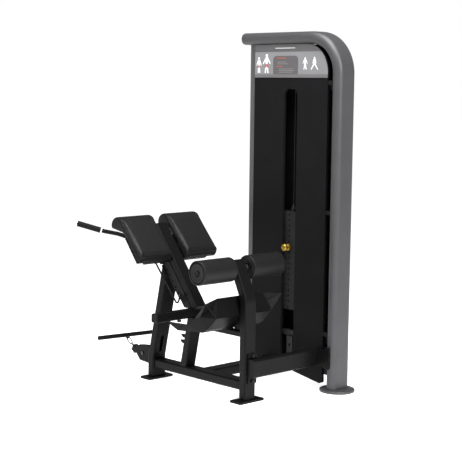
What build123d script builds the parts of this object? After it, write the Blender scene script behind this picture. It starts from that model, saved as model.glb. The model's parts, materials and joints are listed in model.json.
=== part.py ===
from build123d import *
import math
import os

# Cable-loaded back-extension bench beside a weight-stack tower, in millimetres.
# +X points from the pads to the foot end, +Y from the bench to the tower, +Z up.
# The origin is under the centre of the front foot plate, on the floor.

# ---------------------------------------------------------------- driving sizes
WALL = 3.0                       # wall of every steel tube
TUBE_X, TUBE_Y = 50.0, 84.0      # bench tubes, across and along the bench's mid-plane
TUBE_CORNER = 9.0

FOOT_T = 12.0
FOOT_X, FOOT_Y = 90.0, 188.0
FOOT_HOLE_R, FOOT_HOLE_PITCH = 6.5, 140.0

POST_KNEE_Z, POST_TOP_Z, POST_LEAN = 578.0, 782.0, 25.5
LEG_X, LEG_Y, LEG_KNEE_Z, LEG_LEAN = -785.0, 100.0, 136.0, 12.7
BEAM_Z0, BEAM_Z1 = 65.0, 120.0   # base beam, bottom and top
BRACE_X, BRACE_LEAN = -504.0, 12.0

RAIL_FOOT = (-394.0, 497.0)      # a point on the slide beam's upper face
RAIL_ANGLE = 128.6               # direction up the slope, from +X towards +Z
SLIDE_DEPTH, SLIDE_LENGTH = 39.0, 583.0   # slide beam, across and along the slope
RAIL_TOP_N, RAIL_DEPTH = -42.0, 60.0
RAIL_Y, RAIL_END = 72.0, 500.0

PAD_IN, PAD_OUT = 47.0, 308.0
PAD_ANGLE = 132.5
PAD_FACE_LOW = (-566.0, 778.0)
PAD_FACE_LENGTH, PAD_CURL_R = 268.0, 60.0

ROLLER_X, ROLLER_Z, ROLLER_R = -83.0, 743.0, 69.0
ROLLER_IN, ROLLER_OUT = 64.0, 312.0
AXLE_R, BUSH_R, HUB_R, AXLE_END = 10.0, 15.0, 24.0, 304.0

TOWER_Y, TOWER_DEPTH, TOWER_TUBE, TOWER_CORNER = 568.0, 144.0, 70.0, 33.0
TOWER_X, TOWER_TOP_Z, TOWER_BEND_R, TOWER_END_X = 167.0, 2038.0, 210.0, -594.0
SHROUD_Y, SHEET = 520.0, 2.0
SLOT_X, SLOT_W, SLOT_TOP_Z = -200.0, 108.0, 1750.0

STACK_X, STACK_Y = -224.0, 586.0
PLATE_W, PLATE_D, PLATE_PITCH, PLATE_T = 236.0, 70.0, 32.6, 32.2
PLATE_COUNT, LIFTED = 18, 7
STACK_Z0 = 431.0
GUIDE_DX, GUIDE_R = 92.0, 10.0
STEM_R = 12.5

CABLE_R = 2.5
SHEAVE_R = 38.0                  # swivel pulley, to the cable's centre line
BASE_R, CORNER_R = 24.0, 22.0    # pulleys inside the beams
LOW_X, LOW_Z = -900.0, 130.0     # swivel pulley
CABLE_Z = LOW_Z - SHEAVE_R       # height of the cable inside the beams
RETURN_X, TOP_SHEAVE_Z = -362.0, 1868.0
CORNER_AT = (RETURN_X - CORNER_R, CORNER_R)
PULLEY_TOP_R = (STACK_X - RETURN_X) / 2
BAR_AT = (-1085.0, 212.0)
BAR_R, BAR_HALF, BAR_TILT = 13.0, 212.0, 2.0   # the bar hangs slightly off level

os.makedirs("parts", exist_ok=True)


def finish(builder, label):
    builder.part.label = label
    export_step(builder.part, f"parts/{label}.step")


def up_rail(along, across):
    """A point (x, z) this far up the rail, and this far out of the slide beam's upper face."""
    a = math.radians(RAIL_ANGLE)
    x = RAIL_FOOT[0] + along * math.cos(a) + across * math.sin(a)
    z = RAIL_FOOT[1] + along * math.sin(a) - across * math.cos(a)
    return x, z


def rail_plane(along, across, y=0.0):
    """Plane square to the rail: local x along -Y, local y out of the upper face, normal up the slope."""
    x, z = up_rail(along, across)
    a = math.radians(RAIL_ANGLE)
    return Plane(origin=(x, y, z), x_dir=(0, -1, 0), z_dir=(math.cos(a), 0, math.sin(a)))


def side_plane(y):
    """Plane facing -Y at this y: local x is +X and local y is +Z."""
    return Plane(origin=(0, y, 0), x_dir=(1, 0, 0), z_dir=(0, -1, 0))


def tube_ring(width, depth, corner, wall=WALL):
    """Hollow rounded rectangle in the sketch that is open."""
    RectangleRounded(width, depth, corner)
    RectangleRounded(width - 2 * wall, depth - 2 * wall, max(corner - wall, 1.0), mode=Mode.SUBTRACT)


def lean(x0, z0, z1, degrees, toward):
    """The point at height z1 on a line that leaves (x0, z0) leaning this far off vertical."""
    return x0 + toward * (z1 - z0) * math.tan(math.radians(degrees)), z1


shroud_x0, shroud_x1, shroud_z1, shroud_r = -503.0, 90.0, 2002.0, 165.0
PLACARD_Z = 1808.0

# ---------------------------------------------------------------- bench frame
post_top = lean(0, POST_KNEE_Z, POST_TOP_Z, POST_LEAN, -1)
with BuildPart() as front_post:
    with BuildLine() as post_path:
        FilletPolyline((0, 0, FOOT_T), (0, 0, POST_KNEE_Z), (post_top[0], 0, post_top[1]), radius=90)
    with BuildSketch(Plane.XY.offset(FOOT_T)):
        tube_ring(TUBE_X, TUBE_Y, TUBE_CORNER)
    sweep(path=post_path.wire())
    with BuildSketch(Plane(origin=(ROLLER_X, 0, ROLLER_Z), x_dir=(1, 0, 0), z_dir=(0, -1, 0))):
        Circle(AXLE_R + 0.02)
    extrude(amount=TUBE_Y, both=True, mode=Mode.SUBTRACT)
finish(front_post, "front_post")

a_post = math.radians(POST_LEAN)
with BuildPart() as foot_plates:
    with BuildSketch(Plane.XY):
        with Locations((0, 0), (LEG_X, 0)):
            RectangleRounded(FOOT_X, FOOT_Y, 8)
        with Locations((0, 0), (LEG_X, 0)):
            with GridLocations(0, FOOT_HOLE_PITCH, 1, 2):
                Circle(FOOT_HOLE_R, mode=Mode.SUBTRACT)
    extrude(amount=FOOT_T)
finish(foot_plates, "foot_plates")

leg_top_z, WELD_PLATE_T = 650.0, 4.0
leg_top = lean(LEG_X, LEG_KNEE_Z, leg_top_z + 90, LEG_LEAN, 1)
with BuildPart() as rear_leg:
    with BuildLine() as leg_path:
        FilletPolyline((LEG_X, 0, FOOT_T), (LEG_X, 0, LEG_KNEE_Z), (leg_top[0], 0, leg_top[1]), radius=120)
    with BuildSketch(Plane.XY.offset(FOOT_T)):
        with Locations((LEG_X, 0)):
            tube_ring(TUBE_X, LEG_Y, TUBE_CORNER)
    sweep(path=leg_path.wire())
    # mitred under a weld plate on the underside of the inclined rail
    cut_x, cut_z = up_rail(302, RAIL_TOP_N - RAIL_DEPTH - WELD_PLATE_T)
    a_rail = math.radians(RAIL_ANGLE)
    mitre = Plane(origin=(cut_x, 0, cut_z), x_dir=(0, 1, 0), z_dir=(math.sin(a_rail), 0, -math.cos(a_rail)))
    split(bisect_by=mitre, keep=Keep.BOTTOM)
    with BuildSketch(mitre):
        RectangleRounded(LEG_Y, 78, 6)
    extrude(amount=WELD_PLATE_T)
    # access slot in the foot-end wall, and the hole that the swivel's hollow trunnion passes through
    with BuildSketch(Plane(origin=(LEG_X + 18, 0, 212), x_dir=(0, 1, 0), z_dir=(1, 0, 0))):
        SlotOverall(104, 22, rotation=90)
    extrude(amount=TUBE_X, mode=Mode.SUBTRACT)
    with BuildSketch(Plane(origin=(LEG_X, 0, CABLE_Z), x_dir=(0, 1, 0), z_dir=(1, 0, 0))):
        Circle(14.05)
    extrude(amount=TUBE_X, both=True, mode=Mode.SUBTRACT)
finish(rear_leg, "rear_leg")

with BuildPart() as base_beam:
    beam_x0, beam_x1 = LEG_X + TUBE_X / 2, -TUBE_X / 2
    with BuildSketch(Plane(origin=(beam_x0, 0, (BEAM_Z0 + BEAM_Z1) / 2), x_dir=(0, 1, 0), z_dir=(1, 0, 0))):
        tube_ring(TUBE_Y - 4, BEAM_Z1 - BEAM_Z0, TUBE_CORNER)
    extrude(amount=beam_x1 - beam_x0)
    # opening in the side wall for the corner pulley
    with BuildSketch(Plane.XY.offset(CABLE_Z - 9)):
        with Locations(CORNER_AT):
            Circle(CORNER_R + 12)
    extrude(amount=18, mode=Mode.SUBTRACT)
finish(base_beam, "base_beam")

ARM_X, ARM_Z0, ARM_Z1, ARM_HALF = -446.0, 417.0, 469.0, 302.0
with BuildPart() as brace_leg:
    a_brace = math.radians(BRACE_LEAN)
    with BuildSketch(Plane(origin=(BRACE_X - 30 * math.tan(a_brace), 0, BEAM_Z1 - 30),
                           x_dir=(math.cos(a_brace), 0, -math.sin(a_brace)),
                           z_dir=(math.sin(a_brace), 0, math.cos(a_brace)))):
        tube_ring(TUBE_X, TUBE_Y - 4, TUBE_CORNER)
    extrude(amount=500)
    split(bisect_by=Plane(origin=(0, 0, BEAM_Z1), z_dir=(0, 0, 1)), keep=Keep.TOP)
    split(bisect_by=Plane(origin=(0, 0, ARM_Z0), z_dir=(0, 0, 1)), keep=Keep.BOTTOM)
finish(brace_leg, "brace_leg")

with BuildPart() as cross_arm:
    with BuildSketch(Plane(origin=(ARM_X, -ARM_HALF, (ARM_Z0 + ARM_Z1) / 2), x_dir=(1, 0, 0), z_dir=(0, 1, 0))):
        tube_ring(TUBE_X, ARM_Z1 - ARM_Z0, TUBE_CORNER)
    extrude(amount=2 * ARM_HALF)
finish(cross_arm, "cross_arm")

with BuildPart() as rail:
    with BuildSketch(rail_plane(-20, RAIL_TOP_N - RAIL_DEPTH / 2)):
        tube_ring(RAIL_Y, RAIL_DEPTH, 6)
    extrude(amount=RAIL_END + 20)
    split(bisect_by=Plane(origin=(0, 0, ARM_Z1), z_dir=(0, 0, 1)), keep=Keep.TOP)
finish(rail, "rail")

STRIP_T, STRIP_FOOT, STRIP_LENGTH, HOLE_PITCH = 4.0, 97.0, 400.0, 40.6
with BuildPart() as hole_strips:
    for side in (-1, 1):
        strip_x, strip_z = up_rail(STRIP_FOOT, RAIL_TOP_N - RAIL_DEPTH / 2)
        strip_plane = Plane(origin=(strip_x, side * RAIL_Y / 2, strip_z),
                            x_dir=(math.cos(a_rail), 0, math.sin(a_rail)), z_dir=(0, side, 0))
        with BuildSketch(strip_plane):
            with Locations((STRIP_LENGTH / 2, 0)):
                Rectangle(STRIP_LENGTH, RAIL_DEPTH - 2)
            with Locations((STRIP_LENGTH / 2, -13.0 * side)):
                with GridLocations(HOLE_PITCH, 0, 9, 1):
                    Circle(6, mode=Mode.SUBTRACT)
        extrude(amount=STRIP_T)
finish(hole_strips, "hole_strips")

BRACE_Z0, BRACE_Z1 = 362.0, 394.0
with BuildPart() as tray_support:
    with BuildSketch(Plane(origin=(-450, 0, (BRACE_Z0 + BRACE_Z1) / 2), x_dir=(0, 1, 0), z_dir=(1, 0, 0))):
        tube_ring(TUBE_X, BRACE_Z1 - BRACE_Z0, 6)
    extrude(amount=450 - TUBE_X / 2)
    face_x = BRACE_X + TUBE_X / 2 / math.cos(a_brace)
    split(bisect_by=Plane(origin=(face_x, 0, BEAM_Z1), z_dir=(math.cos(a_brace), 0, -math.sin(a_brace))),
          keep=Keep.TOP)
    with BuildSketch(side_plane(4)):
        Polygon((-104, BRACE_Z1), (-TUBE_X / 2, BRACE_Z1), (-TUBE_X / 2, 482), (-34, 482), (-104, 412),
                align=None)
    extrude(amount=8)
finish(tray_support, "tray_support")

# ---------------------------------------------------------------- foot tray
TRAY_T = 4.0
fold, toe = Vector(-29, 213, 490), Vector(-103, 218, 416)
crest, crest_out = Vector(-65, 171, 593), Vector(-26, 295, 580)
ankle, side_top = Vector(-67, 214, 541), Vector(-137, 236, 486)
rim, step_in, toe_low = Vector(-174, 240, 477), Vector(-223, 240, 432), Vector(-139, 220, 397)
step_tip, step_low = Vector(-413, 240, 424), Vector(-318, 240, 386)
wing_facets = (
    (crest, crest_out, ankle), (crest_out, ankle, fold), (crest, ankle, fold),
    (crest_out, ankle, side_top), (crest_out, side_top, rim),
    (ankle, fold, side_top), (fold, toe, side_top),
    (side_top, toe, toe_low), (side_top, toe_low, step_in), (side_top, step_in, rim),
    (step_in, step_tip, step_low), (step_in, step_low, toe_low),
)


def mirrored(point):
    return Vector(point.X, -point.Y, point.Z)


def facet(corners):
    """A plate of the tray through these corners, centred on their plane."""
    x_dir = corners[1] - corners[0]
    normal = x_dir.cross(corners[2] - corners[0]).normalized()
    face_plane = Plane(origin=corners[0], x_dir=x_dir, z_dir=normal)
    flat = [face_plane.to_local_coords(c) for c in corners]
    with BuildSketch(face_plane) as outline:
        Polygon(*[(p.X, p.Y) for p in flat], align=None)
    extrude(outline.sketch, amount=TRAY_T / 2, both=True)


with BuildPart() as foot_tray:
    facet((fold, toe, mirrored(toe), mirrored(fold)))
    facet((fold, crest, mirrored(crest), mirrored(fold)))
    facet((toe, toe_low, mirrored(toe_low), mirrored(toe)))
    for corners in wing_facets:
        facet(corners)
        facet([mirrored(c) for c in corners])
finish(foot_tray, "foot_tray")

# ---------------------------------------------------------------- beams to the tower
FLANGE_T, END_PLATE_T, SIDE_BEAM_X1 = 8.0, 12.0, 80.0
with BuildPart() as side_beam:
    beam_y0, beam_y1 = -24.0, TOWER_Y - TOWER_DEPTH / 2 - END_PLATE_T
    beam_width = SIDE_BEAM_X1 - TUBE_X / 2 - FLANGE_T
    beam_end = Plane(origin=(SIDE_BEAM_X1 - beam_width / 2, beam_y0, 196), x_dir=(1, 0, 0), z_dir=(0, 1, 0))
    with BuildSketch(beam_end):
        tube_ring(beam_width, 100, TUBE_CORNER)
    extrude(amount=beam_y1 - beam_y0)
    # closed bench end
    with BuildSketch(beam_end):
        RectangleRounded(beam_width, 100, TUBE_CORNER)
    extrude(amount=WALL)
finish(side_beam, "side_beam")

with BuildPart() as beam_flanges:
    with BuildSketch(Plane(origin=(TUBE_X / 2, 8, 190), x_dir=(0, 1, 0), z_dir=(1, 0, 0))):
        RectangleRounded(64, 170, 6)
    extrude(amount=FLANGE_T)
    # plate that closes the beam's far end and is welded across the tower tube's face, with a small tab on top
    with BuildSketch(Plane(origin=(0, beam_y1, 0), x_dir=(1, 0, 0), z_dir=(0, -1, 0))) as end_plate:
        Polygon((34, 147), (120, 147), (152, 128), (172, 142), (172, 262), (136, 262), (136, 245), (34, 245),
                align=None)
    extrude(end_plate.sketch, amount=-END_PLATE_T)
finish(beam_flanges, "beam_flanges")


def hex_bolt(plane, washer_r=12.0, head_h=8.0):
    """Washer and hexagon head standing on the plane."""
    with BuildSketch(plane) as washer:
        Circle(washer_r)
    extrude(washer.sketch, amount=2)
    with BuildSketch(plane.offset(2)) as head:
        RegularPolygon(9.5, 6, major_radius=False)
    extrude(head.sketch, amount=head_h)


with BuildPart() as frame_bolts:
    for bolt_z in (261.0, 119.0):
        hex_bolt(Plane(origin=(TUBE_X / 2 + FLANGE_T, 8, bolt_z), x_dir=(0, 1, 0), z_dir=(1, 0, 0)))
    # two studs with nuts on the brace leg's outer face
    for stud_z in (262.0, 296.0):
        stud_x = BRACE_X + (stud_z - BEAM_Z1) * math.tan(a_brace) - TUBE_X / 2 / math.cos(a_brace)
        stud_plane = Plane(origin=(stud_x, -26, stud_z), x_dir=(0, 1, 0),
                           z_dir=(-math.cos(a_brace), 0, math.sin(a_brace)))
        with BuildSketch(stud_plane):
            Circle(5)
        extrude(amount=36)
        for nut_at in (0.0, 14.0):
            with BuildSketch(stud_plane.offset(nut_at)):
                RegularPolygon(9.5, 6, major_radius=False)
            extrude(amount=9)
    # washers and bolt heads that hold the ankle rollers on their axle
    for side in (-1, 1):
        hex_bolt(Plane(origin=(ROLLER_X, side * AXLE_END, ROLLER_Z), x_dir=(1, 0, 0), z_dir=(0, side, 0)),
                 14.5, 5.0)
    # knob under the cross arm
    knob_plane = Plane(origin=(ARM_X, -118, ARM_Z0), x_dir=(1, 0, 0), z_dir=(0, 0, -1))
    with BuildSketch(knob_plane):
        Circle(6)
    extrude(amount=6)
    with BuildSketch(knob_plane.offset(6)):
        Circle(13)
    extrude(amount=11, taper=12)
finish(frame_bolts, "frame_bolts")

SHEAVE_T = 14.0
with BuildPart() as tower_beam:
    with BuildSketch(Plane(origin=(RETURN_X, (TUBE_Y - 4) / 2, (BEAM_Z0 + BEAM_Z1) / 2), x_dir=(1, 0, 0),
                           z_dir=(0, 1, 0))):
        tube_ring(84, BEAM_Z1 - BEAM_Z0, 8)
    extrude(amount=592 - (TUBE_Y - 4) / 2)
    # slot over the base pulley
    with BuildSketch(Plane.XY.offset(CABLE_Z)):
        with Locations((RETURN_X, STACK_Y - BASE_R)):
            Rectangle(SHEAVE_T + 24, 60)
    extrude(amount=60, mode=Mode.SUBTRACT)
    with BuildSketch(Plane.XY.offset(CABLE_Z - 9)):
        with Locations(CORNER_AT):
            Circle(CORNER_R + 12)
    extrude(amount=18, mode=Mode.SUBTRACT)
finish(tower_beam, "tower_beam")

# ---------------------------------------------------------------- tower
with BuildPart() as tower_frame:
    with BuildLine(side_plane(TOWER_Y)) as tower_path:
        FilletPolyline((TOWER_X, 15), (TOWER_X, TOWER_TOP_Z), (TOWER_END_X, TOWER_TOP_Z), radius=TOWER_BEND_R)
    with BuildSketch(Plane(origin=(TOWER_X, TOWER_Y, 15))):
        tube_ring(TOWER_TUBE, TOWER_DEPTH, TOWER_CORNER)
    sweep(path=tower_path.wire())
finish(tower_frame, "tower_frame")


def tube_plug(plane, width, depth, corner, thickness, taper=0.0):
    """End plug: a cap over the tube's end and a tongue inside it."""
    with BuildSketch(plane) as cap:
        RectangleRounded(width, depth, corner)
    extrude(cap.sketch, amount=thickness, taper=taper)
    with BuildSketch(plane) as tongue:
        RectangleRounded(width - 2 * WALL - 0.2, depth - 2 * WALL - 0.2, max(corner - WALL, 1.5))
    extrude(tongue.sketch, amount=-12)


arm_mid_z = (ARM_Z0 + ARM_Z1) / 2
with BuildPart() as tube_plugs:
    tube_plug(Plane(origin=(post_top[0], 0, post_top[1]), x_dir=(math.cos(a_post), 0, math.sin(a_post)),
                    z_dir=(-math.sin(a_post), 0, math.cos(a_post))), TUBE_X, TUBE_Y, TUBE_CORNER, 4, 20)
    for side in (-1, 1):
        tube_plug(Plane(origin=(ARM_X, side * ARM_HALF, arm_mid_z), x_dir=(1, 0, 0), z_dir=(0, side, 0)),
                  TUBE_X, ARM_Z1 - ARM_Z0, TUBE_CORNER, 7, 25)
    tube_plug(rail_plane(RAIL_END, RAIL_TOP_N - RAIL_DEPTH / 2), RAIL_Y, RAIL_DEPTH, 6, 4, 15)
    tube_plug(Plane(origin=(TOWER_END_X, TOWER_Y, TOWER_TOP_Z), x_dir=(0, 0, 1), z_dir=(-1, 0, 0)),
              TOWER_TUBE, TOWER_DEPTH, TOWER_CORNER, 5, 25)
    # clips that hold the shroud to the tower tube
    clip_x0, clip_x1 = shroud_x1, TOWER_X - TOWER_TUBE / 2
    for clip_z in (1781.0, 1038.0, 330.0):
        with BuildSketch(side_plane(SHROUD_Y + SHEET)) as clip:
            with Locations(((clip_x0 + clip_x1) / 2, clip_z)):
                Rectangle(clip_x1 - clip_x0, 24)
        extrude(clip.sketch, amount=-6)
finish(tube_plugs, "tube_plugs")

INNER_POST_X = -530.0
with BuildPart() as inner_post:
    with BuildSketch(Plane(origin=(INNER_POST_X, TOWER_Y, 10))):
        tube_ring(40, 80, 5)
    extrude(amount=TOWER_TOP_Z - TOWER_TUBE / 2 - 10)
finish(inner_post, "inner_post")

with BuildPart() as tower_feet:
    with BuildSketch() as disc:
        with Locations((TOWER_X, TOWER_Y)):
            Circle(103)
    extrude(amount=15)
    fillet(tower_feet.faces().sort_by(Axis.Z)[-1].edges(), 5)
    with BuildSketch():
        with Locations((INNER_POST_X, TOWER_Y)):
            RectangleRounded(76, 112, 8)
    extrude(amount=10)
finish(tower_feet, "tower_feet")

inner_x0, inner_x1 = INNER_POST_X + 20, TOWER_X - TOWER_TUBE / 2
cross_bars = (
    (609.0, 34.0, 70.0, 125.0),
    (STACK_Y, 44.0, 268.0, 300.0),
    (STACK_Y, 44.0, 1740.0, 1766.0),
)
with BuildPart() as tower_cross_bars:
    for bar_y, bar_depth, bar_z0, bar_z1 in cross_bars:
        bar_start = (inner_x0, bar_y, (bar_z0 + bar_z1) / 2)
        with BuildSketch(Plane(origin=bar_start, x_dir=(0, 1, 0), z_dir=(1, 0, 0))):
            tube_ring(bar_depth, bar_z1 - bar_z0, 4)
        extrude(amount=inner_x1 - inner_x0)
    # holes for the guide rods and the cable in the two upper bars
    with BuildSketch(Plane.XY.offset(200)):
        with Locations((STACK_X - GUIDE_DX, STACK_Y), (STACK_X + GUIDE_DX, STACK_Y)):
            Circle(GUIDE_R + 0.02)
        with Locations((RETURN_X, STACK_Y), (STACK_X, STACK_Y)):
            Circle(STEM_R + 2)
    extrude(amount=1700, mode=Mode.SUBTRACT)
    # column under the middle of the stack, with one round hole
    with BuildSketch(Plane.XY.offset(96)):
        with Locations((STACK_X + 16, 572)):
            Rectangle(46, 39.8)
            Rectangle(38, 31.8, mode=Mode.SUBTRACT)
    extrude(amount=172)
    with BuildSketch(Plane(origin=(STACK_X + 16, 552, 217), x_dir=(1, 0, 0), z_dir=(0, -1, 0))):
        Circle(8)
    extrude(amount=10, both=True, mode=Mode.SUBTRACT)
finish(tower_cross_bars, "tower_cross_bars")



def panel_outline(x0, x1, z1, r):
    """Panel outline: slanted bottom edge and a corner concentric with the tower's bend."""
    with BuildLine() as outline:
        Polyline((x1, z1 - r), (x1, 44), (x1 - 22, 34), (x0, 132), (x0, z1), (x1 - r, z1))
        RadiusArc((x1 - r, z1), (x1, z1 - r), r)
    make_face(outline.edges())


def stick_slot(x_centre, width, z_top, z_bottom):
    """Upright slot with a round top that runs out through the bottom edge."""
    with Locations((x_centre, (z_top - width / 2 + z_bottom) / 2)):
        Rectangle(width, z_top - width / 2 - z_bottom, mode=Mode.SUBTRACT)
    with Locations((x_centre, z_top - width / 2)):
        Circle(width / 2, mode=Mode.SUBTRACT)


RETURN_DEPTH = 16.0
with BuildPart() as front_shroud:
    with BuildSketch(side_plane(SHROUD_Y + SHEET)):
        panel_outline(shroud_x0, shroud_x1, shroud_z1, shroud_r)
        stick_slot(SLOT_X, SLOT_W, SLOT_TOP_Z, 0)
    extrude(amount=SHEET)
    with BuildSketch(side_plane(SHROUD_Y + SHEET + RETURN_DEPTH)):
        panel_outline(shroud_x0, shroud_x1, shroud_z1, shroud_r)
        stick_slot(SLOT_X, SLOT_W, SLOT_TOP_Z, 0)
        offset(amount=-SHEET, mode=Mode.SUBTRACT)
    extrude(amount=RETURN_DEPTH)
    # clear of the beam that comes in from the bench
    with BuildSketch(Plane.XY.offset(20)):
        with Locations((RETURN_X, SHROUD_Y + 9)):
            Rectangle(92, 30)
    extrude(amount=104, mode=Mode.SUBTRACT)
finish(front_shroud, "front_shroud")

REAR_Y, REAR_RETURN = 629.0, 17.0
with BuildPart() as rear_shroud:
    for depth, hollow in ((SHEET, False), (REAR_RETURN, True)):
        rear_plane = side_plane(REAR_Y + (SHEET if not hollow else 0))
        with BuildSketch(rear_plane):
            with BuildLine():
                Polyline((126, shroud_z1 - shroud_r), (126, 130), (shroud_x0, 130), (shroud_x0, shroud_z1),
                         (126 - shroud_r, shroud_z1))
                RadiusArc((126 - shroud_r, shroud_z1), (126, shroud_z1 - shroud_r), shroud_r)
            make_face()
            if hollow:
                offset(amount=-SHEET, mode=Mode.SUBTRACT)
        extrude(amount=depth)
finish(rear_shroud, "rear_shroud")

with BuildPart() as placard:
    with BuildSketch(side_plane(SHROUD_Y)):
        with BuildLine():
            Polyline((shroud_x1, shroud_z1 - shroud_r), (shroud_x1, PLACARD_Z), (shroud_x0 + 4, PLACARD_Z),
                     (shroud_x0 + 4, shroud_z1), (shroud_x1 - shroud_r, shroud_z1))
            RadiusArc((shroud_x1 - shroud_r, shroud_z1), (shroud_x1, shroud_z1 - shroud_r), shroud_r)
        make_face()
    extrude(amount=3)
finish(placard, "placard")

# ---------------------------------------------------------------- weight stack
top_hole_z = STACK_Z0 + (PLATE_COUNT - 0.5) * PLATE_PITCH
pin_z = top_hole_z - (LIFTED - 1) * PLATE_PITCH


def weight_plate(z_mid, guide_hole):
    """One plate: centre bore for the stem, guide holes, and the selector hole in its front edge."""
    with BuildSketch(Plane.XY.offset(z_mid - PLATE_T / 2)) as outline:
        with Locations((STACK_X, STACK_Y)):
            RectangleRounded(PLATE_W, PLATE_D, 4)
            Circle(STEM_R + 1, mode=Mode.SUBTRACT)
        with Locations((STACK_X - GUIDE_DX, STACK_Y), (STACK_X + GUIDE_DX, STACK_Y)):
            Circle(guide_hole, mode=Mode.SUBTRACT)
    extrude(outline.sketch, amount=PLATE_T)
    front = Plane(origin=(STACK_X, STACK_Y - PLATE_D / 2, z_mid), x_dir=(1, 0, 0), z_dir=(0, 1, 0))
    with BuildSketch(front) as pin_hole:
        Circle(5.6)
    extrude(pin_hole.sketch, amount=PLATE_D / 2, mode=Mode.SUBTRACT)


with BuildPart() as top_plate:
    weight_plate(top_hole_z, GUIDE_R + 4)
finish(top_plate, "top_plate")

for group_name, first, last in (("lifted_plates", 1, LIFTED), ("resting_plates", LIFTED, PLATE_COUNT)):
    with BuildPart() as plates:
        for index in range(first, last):
            weight_plate(top_hole_z - index * PLATE_PITCH, GUIDE_R + 4)
    finish(plates, group_name)

with BuildPart() as guide_bushes:
    with BuildSketch(Plane.XY.offset(top_hole_z - PLATE_T / 2)):
        with Locations((STACK_X - GUIDE_DX, STACK_Y), (STACK_X + GUIDE_DX, STACK_Y)):
            Circle(GUIDE_R + 4)
            Circle(GUIDE_R + 0.05, mode=Mode.SUBTRACT)
    extrude(amount=PLATE_T + 12)
finish(guide_bushes, "guide_bushes")

with BuildPart() as selector_stem:
    stem_z0 = STACK_Z0 + 8
    with BuildSketch(Plane.XY.offset(stem_z0)):
        with Locations((STACK_X, STACK_Y)):
            Circle(STEM_R)
    extrude(amount=top_hole_z + PLATE_T / 2 - stem_z0)
    with BuildSketch(Plane.XY.offset(top_hole_z + PLATE_T / 2)):
        with Locations((STACK_X, STACK_Y)):
            Circle(STEM_R + 6)
    extrude(amount=14)
    for index in range(PLATE_COUNT):
        hole_plane = Plane(origin=(STACK_X, STACK_Y - STEM_R - 2, top_hole_z - index * PLATE_PITCH),
                           x_dir=(1, 0, 0), z_dir=(0, 1, 0))
        with BuildSketch(hole_plane):
            Circle(5.6)
        extrude(amount=2 * STEM_R + 4, mode=Mode.SUBTRACT)
finish(selector_stem, "selector_stem")

eye_z0 = top_hole_z + PLATE_T / 2 + 14
with BuildPart() as cable_eye:
    with BuildSketch(Plane.XY.offset(eye_z0)):
        with Locations((STACK_X, STACK_Y)):
            RegularPolygon(11, 6, major_radius=False)
    extrude(amount=12)
    with BuildSketch(Plane.XY.offset(eye_z0 + 12)):
        with Locations((STACK_X, STACK_Y)):
            Circle(7)
    extrude(amount=18, taper=8)
finish(cable_eye, "cable_eye")
lift_z0 = eye_z0 + 30

PIN_R, PIN_Y = 5.2, 512.0
with BuildPart() as selector_pin:
    pin_front = Plane(origin=(STACK_X, PIN_Y, pin_z), x_dir=(1, 0, 0), z_dir=(0, 1, 0))
    with BuildSketch(pin_front):
        Circle(PIN_R)
    extrude(amount=STACK_Y + 10 - PIN_Y)
finish(selector_pin, "selector_pin")

with BuildPart() as pin_knob:
    with BuildSketch(Plane(origin=(STACK_X, 0, pin_z), x_dir=(0, 1, 0), z_dir=(-1, 0, 0))):
        with BuildLine():
            Polyline((549, 0), (549, 17), (545, 20), (536, 20), (531, 12), (521, 11), (517, 20), (507, 21),
                     (502, 16), (502, 0), close=True)
        make_face()
    revolve(axis=Axis((STACK_X, 0, pin_z), (0, 1, 0)))
    with BuildSketch(pin_front):
        Circle(PIN_R)
    extrude(amount=80, mode=Mode.SUBTRACT)
finish(pin_knob, "pin_knob")

with BuildPart() as guide_rods:
    with BuildSketch(Plane.XY.offset(268 + WALL)):
        with Locations((STACK_X - GUIDE_DX, STACK_Y), (STACK_X + GUIDE_DX, STACK_Y)):
            Circle(GUIDE_R)
    extrude(amount=1766 - WALL - 268 - WALL)
finish(guide_rods, "guide_rods")

with BuildPart() as stack_bumpers:
    with BuildSketch(Plane.XY.offset(300)):
        with Locations((STACK_X - GUIDE_DX, STACK_Y), (STACK_X + GUIDE_DX, STACK_Y)):
            Circle(24)
            Circle(GUIDE_R + 0.3, mode=Mode.SUBTRACT)
    extrude(amount=STACK_Z0 - 300 - 0.2)
finish(stack_bumpers, "stack_bumpers")


# ---------------------------------------------------------------- pulleys and cable
def sheave(plane, pitch_r, thickness, bore_r):
    """Grooved wheel about the plane's normal, through the plane's origin."""
    rim_r = pitch_r + 4
    with BuildSketch(plane.offset(-thickness / 2)) as disc:
        Circle(rim_r)
        Circle(bore_r, mode=Mode.SUBTRACT)
    extrude(disc.sketch, amount=thickness)
    with BuildSketch(Plane(origin=plane.origin, x_dir=plane.x_dir, z_dir=plane.y_dir)) as groove:
        with Locations((pitch_r, 0)):
            Circle(CABLE_R + 0.4)
        with Locations((pitch_r + 4, 0)):
            Rectangle(8, 2 * CABLE_R + 2.4)
    revolve(groove.sketch, axis=Axis(plane.origin, plane.z_dir), mode=Mode.SUBTRACT)


def axle(plane, radius, z0, z1, head_r):
    """Pin along the plane's normal with a thin head at each end."""
    with BuildSketch(plane.offset(z0)) as shank:
        Circle(radius)
    extrude(shank.sketch, amount=z1 - z0)
    for start, length in ((z0, -5), (z1, 5)):
        with BuildSketch(plane.offset(start)) as head:
            RegularPolygon(head_r, 6, major_radius=False)
        extrude(head.sketch, amount=length)


top_plane = Plane(origin=((STACK_X + RETURN_X) / 2, STACK_Y, TOP_SHEAVE_Z), x_dir=(1, 0, 0), z_dir=(0, -1, 0))
base_plane = Plane(origin=(RETURN_X, STACK_Y - BASE_R, CABLE_Z + BASE_R), x_dir=(0, 1, 0), z_dir=(1, 0, 0))
corner_plane = Plane(origin=(CORNER_AT[0], CORNER_AT[1], CABLE_Z), x_dir=(1, 0, 0), z_dir=(0, 0, 1))
low_plane = Plane(origin=(LOW_X, 0, LOW_Z), x_dir=(1, 0, 0), z_dir=(0, -1, 0))

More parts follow.
